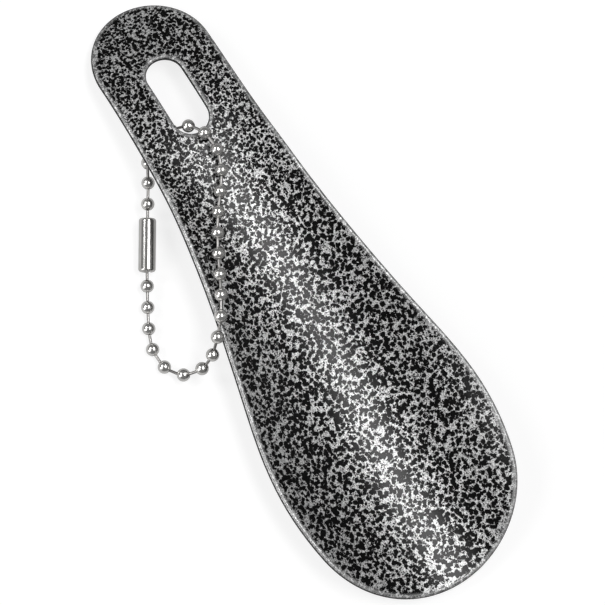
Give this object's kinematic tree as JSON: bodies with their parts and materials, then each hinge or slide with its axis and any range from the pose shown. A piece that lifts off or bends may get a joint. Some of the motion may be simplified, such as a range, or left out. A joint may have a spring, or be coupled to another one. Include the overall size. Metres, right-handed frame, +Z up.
{
  "type": "shoehorn",
  "caption": "Pocket shoehorn stamped from sheet metal: trough-shaped blade, bent-back handle with a round-ended hanging slot, and a ball-chain loop closed by a barrel connector.",
  "frame": {"origin": "centre of the hanging slot, in the middle of the sheet", "axes": "+X from the handle to the tip, +Y across the blade, +Z up out of the hollow, with the horn lying on its back"},
  "size_m": [0.12, 0.0487, 0.0116],
  "materials": {
    "vein_coat": "glossy vein-texture powder coat, silver network over black",
    "bead_nickel": "bright nickel plate",
    "pin_nickel": "bright nickel plate on drawn wire",
    "connector_nickel": "bright nickel plate on folded strip"
  },
  "bodies": {
    "horn": {"horn": "vein_coat"},
    "front_link_1": {"pin_10": "pin_nickel"},
    "rear_link_1": {"pin_25": "pin_nickel"},
    "front_link_2": {"pin_09": "pin_nickel"},
    "rear_link_2": {"pin_26": "pin_nickel"},
    "front_link_3": {"pin_08": "pin_nickel"},
    "connector": {"connector": "connector_nickel"},
    "front_link_4": {"pin_07": "pin_nickel"},
    "rear_link_3": {"pin_01": "pin_nickel"},
    "far_bend": {"pin_06": "pin_nickel"},
    "bead_01": {"bead_01": "bead_nickel"},
    "bead_02": {"bead_02": "bead_nickel"},
    "bead_03": {"bead_03": "bead_nickel"},
    "bead_04": {"bead_04": "bead_nickel"},
    "bead_05": {"bead_05": "bead_nickel"},
    "bead_06": {"bead_06": "bead_nickel"},
    "bead_07": {"bead_07": "bead_nickel"},
    "bead_08": {"bead_08": "bead_nickel"},
    "bead_09": {"bead_09": "bead_nickel"},
    "bead_10": {"bead_10": "bead_nickel"},
    "bead_11": {"bead_11": "bead_nickel"},
    "bead_12": {"bead_12": "bead_nickel"},
    "bead_13": {"bead_13": "bead_nickel"},
    "bead_14": {"bead_14": "bead_nickel"},
    "bead_15": {"bead_15": "bead_nickel"},
    "bead_16": {"bead_16": "bead_nickel"},
    "bead_17": {"bead_17": "bead_nickel"},
    "bead_18": {"bead_18": "bead_nickel"},
    "bead_19": {"bead_19": "bead_nickel"},
    "bead_20": {"bead_20": "bead_nickel"},
    "bead_21": {"bead_21": "bead_nickel"},
    "bead_22": {"bead_22": "bead_nickel"},
    "bead_23": {"bead_23": "bead_nickel"},
    "bead_24": {"bead_24": "bead_nickel"},
    "bead_25": {"bead_25": "bead_nickel"},
    "bead_26": {"bead_26": "bead_nickel"},
    "bead_27": {"bead_27": "bead_nickel"},
    "pin_02": {"pin_02": "pin_nickel"},
    "pin_03": {"pin_03": "pin_nickel"},
    "pin_04": {"pin_04": "pin_nickel"},
    "pin_05": {"pin_05": "pin_nickel"},
    "pin_11": {"pin_11": "pin_nickel"},
    "pin_12": {"pin_12": "pin_nickel"},
    "pin_13": {"pin_13": "pin_nickel"},
    "pin_14": {"pin_14": "pin_nickel"},
    "pin_15": {"pin_15": "pin_nickel"},
    "pin_16": {"pin_16": "pin_nickel"},
    "pin_17": {"pin_17": "pin_nickel"},
    "pin_18": {"pin_18": "pin_nickel"},
    "pin_19": {"pin_19": "pin_nickel"},
    "pin_20": {"pin_20": "pin_nickel"},
    "pin_21": {"pin_21": "pin_nickel"},
    "pin_22": {"pin_22": "pin_nickel"},
    "pin_23": {"pin_23": "pin_nickel"},
    "pin_24": {"pin_24": "pin_nickel"}
  },
  "joints": [
    {"name": "loop_fold_1", "type": "hinge", "parent": "horn", "child": "front_link_1", "pos_m": [0.03923, -0.01469, 0.00382], "axis": [-0.9733, 0.0758, -0.2168], "range_deg": [0, 30]},
    {"name": "rear_fold_1", "type": "hinge", "parent": "horn", "child": "rear_link_1", "pos_m": [0.01148, -0.01253, -0.00237], "axis": [-0.9733, 0.0758, -0.2168], "range_deg": [0, 30]},
    {"name": "loop_fold_2", "type": "hinge", "parent": "front_link_1", "child": "front_link_2", "pos_m": [0.04203, -0.01694, 0.00259], "axis": [-0.9766, 0.0887, -0.1959], "range_deg": [0, 25]},
    {"name": "rear_fold_2", "type": "hinge", "parent": "rear_link_1", "child": "rear_link_2", "pos_m": [0.01472, -0.01446, -0.00289], "axis": [-0.9766, 0.0887, -0.1959], "range_deg": [0, 25]},
    {"name": "loop_fold_3", "type": "hinge", "parent": "front_link_2", "child": "front_link_3", "pos_m": [0.04396, -0.01877, -0.00012], "axis": [-0.9875, 0.1098, -0.1129], "range_deg": [0, 15]},
    {"name": "rear_fold_3", "type": "hinge", "parent": "rear_link_2", "child": "connector", "pos_m": [0.01695, -0.01577, -0.00321], "axis": [-0.9875, 0.1098, -0.1129], "range_deg": [0, 15]},
    {"name": "loop_fold_4", "type": "hinge", "parent": "front_link_3", "child": "front_link_4", "pos_m": [0.04473, -0.02131, -0.00281], "axis": [-0.9958, 0.0667, -0.0622], "range_deg": [0, 12]},
    {"name": "rear_fold_4", "type": "hinge", "parent": "connector", "child": "rear_link_3", "pos_m": [0.02409, -0.01993, -0.0041], "axis": [-0.9958, 0.0667, -0.0622], "range_deg": [0, 12]},
    {"name": "loop_fold_5", "type": "hinge", "parent": "front_link_4", "child": "far_bend", "pos_m": [0.04359, -0.02443, -0.00459], "axis": [-0.9868, 0.162, 0.0017], "range_deg": [0, 8]},
    {"name": "bead_01_turn", "type": "hinge", "parent": "connector", "child": "bead_01", "pos_m": [0.02356, -0.01964, -0.00402], "axis": [0.8693, -0.4778, -0.1268], "continuous": true},
    {"name": "bead_02_turn", "type": "hinge", "parent": "rear_link_3", "child": "bead_02", "pos_m": [0.02687, -0.02148, -0.00449], "axis": [0.8705, -0.478, -0.1173], "continuous": true},
    {"name": "bead_03_turn", "type": "hinge", "parent": "far_bend", "child": "bead_03", "pos_m": [0.0302, -0.02327, -0.00489], "axis": [0.8817, -0.4631, -0.0904], "continuous": true},
    {"name": "bead_04_turn", "type": "hinge", "parent": "far_bend", "child": "bead_04", "pos_m": [0.03358, -0.02501, -0.00515], "axis": [0.8951, -0.4436, -0.0443], "continuous": true},
    {"name": "bead_05_turn", "type": "hinge", "parent": "far_bend", "child": "bead_05", "pos_m": [0.03716, -0.02627, -0.00526], "axis": [0.9859, -0.1666, -0.0161], "continuous": true},
    {"name": "bead_06_turn", "type": "hinge", "parent": "far_bend", "child": "bead_06", "pos_m": [0.04093, -0.02606, -0.00518], "axis": [0.9542, 0.2895, 0.0755], "continuous": true},
    {"name": "bead_07_turn", "type": "hinge", "parent": "front_link_4", "child": "bead_07", "pos_m": [0.04389, -0.02396, -0.00436], "axis": [0.5051, 0.7778, 0.374], "continuous": true},
    {"name": "bead_08_turn", "type": "hinge", "parent": "front_link_3", "child": "bead_08", "pos_m": [0.04469, -0.02085, -0.00243], "axis": [-0.0692, 0.7745, 0.6287], "continuous": true},
    {"name": "bead_09_turn", "type": "hinge", "parent": "front_link_2", "child": "bead_09", "pos_m": [0.04372, -0.01849, 0.00036], "axis": [-0.4099, 0.4629, 0.7859], "continuous": true},
    {"name": "bead_10_turn", "type": "hinge", "parent": "front_link_1", "child": "bead_10", "pos_m": [0.04162, -0.01659, 0.00286], "axis": [-0.6747, 0.5816, 0.4545], "continuous": true},
    {"name": "bead_11_turn", "type": "hinge", "parent": "horn", "child": "bead_11", "pos_m": [0.03873, -0.01436, 0.00388], "axis": [-0.8226, 0.5599, 0.0993], "continuous": true},
    {"name": "bead_12_turn", "type": "hinge", "parent": "horn", "child": "bead_12", "pos_m": [0.03549, -0.01238, 0.00383], "axis": [-0.8698, 0.4837, -0.0976], "continuous": true},
    {"name": "bead_13_turn", "type": "hinge", "parent": "horn", "child": "bead_13", "pos_m": [0.03215, -0.01061, 0.00335], "axis": [-0.8824, 0.4521, -0.1299], "continuous": true},
    {"name": "bead_14_turn", "type": "hinge", "parent": "horn", "child": "bead_14", "pos_m": [0.02878, -0.00887, 0.00299], "axis": [-0.883, 0.4654, -0.0603], "continuous": true},
    {"name": "bead_15_turn", "type": "hinge", "parent": "horn", "child": "bead_15", "pos_m": [0.02545, -0.00703, 0.00285], "axis": [-0.8628, 0.5053, -0.0183], "continuous": true},
    {"name": "bead_16_turn", "type": "hinge", "parent": "horn", "child": "bead_16", "pos_m": [0.02223, -0.00499, 0.0028], "axis": [-0.8224, 0.5687, -0.0154], "continuous": true},
    {"name": "bead_17_turn", "type": "hinge", "parent": "horn", "child": "bead_17", "pos_m": [0.01918, -0.00271, 0.00271], "axis": [-0.793, 0.6087, -0.0248], "continuous": true},
    {"name": "bead_18_turn", "type": "hinge", "parent": "horn", "child": "bead_18", "pos_m": [0.01602, -0.00059, 0.00272], "axis": [-0.8814, 0.4699, 0.0476], "continuous": true},
    {"name": "bead_19_turn", "type": "hinge", "parent": "horn", "child": "bead_19", "pos_m": [0.01243, 0.00052, 0.00314], "axis": [-0.9864, 0.0917, 0.1362], "continuous": true},
    {"name": "bead_20_turn", "type": "hinge", "parent": "horn", "child": "bead_20", "pos_m": [0.00869, 0.00018, 0.00291], "axis": [-0.9164, -0.2546, -0.3088], "continuous": true},
    {"name": "bead_21_turn", "type": "hinge", "parent": "horn", "child": "bead_21", "pos_m": [0.00589, -0.0013, 0.00091], "axis": [-0.5011, -0.5125, -0.6973], "continuous": true},
    {"name": "bead_22_turn", "type": "hinge", "parent": "horn", "child": "bead_22", "pos_m": [0.00477, -0.0039, -0.00156], "axis": [-0.1027, -0.8578, -0.5037], "continuous": true},
    {"name": "bead_23_turn", "type": "hinge", "parent": "horn", "child": "bead_23", "pos_m": [0.00531, -0.00741, -0.00277], "axis": [0.4101, -0.9023, -0.1333], "continuous": true},
    {"name": "bead_24_turn", "type": "hinge", "parent": "horn", "child": "bead_24", "pos_m": [0.00769, -0.01033, -0.00273], "axis": [0.7956, -0.5918, 0.1297], "continuous": true},
    {"name": "bead_25_turn", "type": "hinge", "parent": "horn", "child": "bead_25", "pos_m": [0.01095, -0.01224, -0.00236], "axis": [0.8745, -0.4849, -0.0126], "continuous": true},
    {"name": "bead_26_turn", "type": "hinge", "parent": "rear_link_1", "child": "bead_26", "pos_m": [0.01421, -0.01416, -0.0028], "axis": [0.8494, -0.5042, -0.1557], "continuous": true},
    {"name": "bead_27_turn", "type": "hinge", "parent": "connector", "child": "bead_27", "pos_m": [0.01746, -0.01608, -0.00324], "axis": [0.8554, -0.5143, -0.062], "continuous": true},
    {"name": "pin_02_turn", "type": "hinge", "parent": "far_bend", "child": "pin_02", "pos_m": [0.02853, -0.02238, -0.0047], "axis": [0.8767, -0.4692, -0.1064], "continuous": true},
    {"name": "pin_03_turn", "type": "hinge", "parent": "far_bend", "child": "pin_03", "pos_m": [0.03189, -0.02415, -0.00503], "axis": [0.8852, -0.4601, -0.0682], "continuous": true},
    {"name": "pin_04_turn", "type": "hinge", "parent": "far_bend", "child": "pin_04", "pos_m": [0.03534, -0.02573, -0.00521], "axis": [0.9387, -0.3435, -0.0286], "continuous": true},
    {"name": "pin_05_turn", "type": "hinge", "parent": "far_bend", "child": "pin_05", "pos_m": [0.03905, -0.02631, -0.00525], "axis": [0.9984, 0.0533, 0.0164], "continuous": true},
    {"name": "pin_11_turn", "type": "hinge", "parent": "horn", "child": "pin_11", "pos_m": [0.03713, -0.01334, 0.00391], "axis": [-0.8546, 0.519, -0.0188], "continuous": true},
    {"name": "pin_12_turn", "type": "hinge", "parent": "horn", "child": "pin_12", "pos_m": [0.03382, -0.01148, 0.0036], "axis": [-0.8772, 0.4621, -0.1303], "continuous": true},
    {"name": "pin_13_turn", "type": "hinge", "parent": "horn", "child": "pin_13", "pos_m": [0.03046, -0.00974, 0.00315], "axis": [-0.8851, 0.4556, -0.0954], "continuous": true},
    {"name": "pin_14_turn", "type": "hinge", "parent": "horn", "child": "pin_14", "pos_m": [0.02711, -0.00796, 0.00291], "axis": [-0.8752, 0.4825, -0.0351], "continuous": true},
    {"name": "pin_15_turn", "type": "hinge", "parent": "horn", "child": "pin_15", "pos_m": [0.02383, -0.00603, 0.00282], "axis": [-0.8449, 0.5349, -0.0126], "continuous": true},
    {"name": "pin_16_turn", "type": "hinge", "parent": "horn", "child": "pin_16", "pos_m": [0.0207, -0.00386, 0.00275], "axis": [-0.7982, 0.6018, -0.0254], "continuous": true},
    {"name": "pin_17_turn", "type": "hinge", "parent": "horn", "child": "pin_17", "pos_m": [0.01763, -0.00161, 0.00269], "axis": [-0.8253, 0.5648, 0.0005], "continuous": true},
    {"name": "pin_18_turn", "type": "hinge", "parent": "horn", "child": "pin_18", "pos_m": [0.01425, 0.00008, 0.00291], "axis": [-0.9475, 0.2965, 0.1196], "continuous": true},
    {"name": "pin_19_turn", "type": "hinge", "parent": "horn", "child": "pin_19", "pos_m": [0.01054, 0.00046, 0.00316], "axis": [-0.9944, -0.0935, -0.0486], "continuous": true},
    {"name": "pin_20_turn", "type": "hinge", "parent": "horn", "child": "pin_20", "pos_m": [0.00716, -0.00048, 0.00203], "axis": [-0.7484, -0.3902, -0.5363], "continuous": true},
    {"name": "pin_21_turn", "type": "hinge", "parent": "horn", "child": "pin_21", "pos_m": [0.00521, -0.00249, -0.00039], "axis": [-0.2885, -0.6822, -0.6718], "continuous": true},
    {"name": "pin_22_turn", "type": "hinge", "parent": "horn", "child": "pin_22", "pos_m": [0.00489, -0.00564, -0.00228], "axis": [0.1374, -0.9386, -0.3164], "continuous": true},
    {"name": "pin_23_turn", "type": "hinge", "parent": "horn", "child": "pin_23", "pos_m": [0.00638, -0.00896, -0.00283], "axis": [0.6315, -0.7752, 0.0162], "continuous": true},
    {"name": "pin_24_turn", "type": "hinge", "parent": "horn", "child": "pin_24", "pos_m": [0.00929, -0.01131, -0.0025], "axis": [0.8665, -0.4855, 0.1158], "continuous": true}
  ],
  "couplings": [
    {"joint": "rear_fold_1", "follows": "loop_fold_1", "ratio": 1},
    {"joint": "rear_fold_2", "follows": "loop_fold_2", "ratio": 1},
    {"joint": "rear_fold_3", "follows": "loop_fold_3", "ratio": 1},
    {"joint": "rear_fold_4", "follows": "loop_fold_4", "ratio": 1}
  ]
}
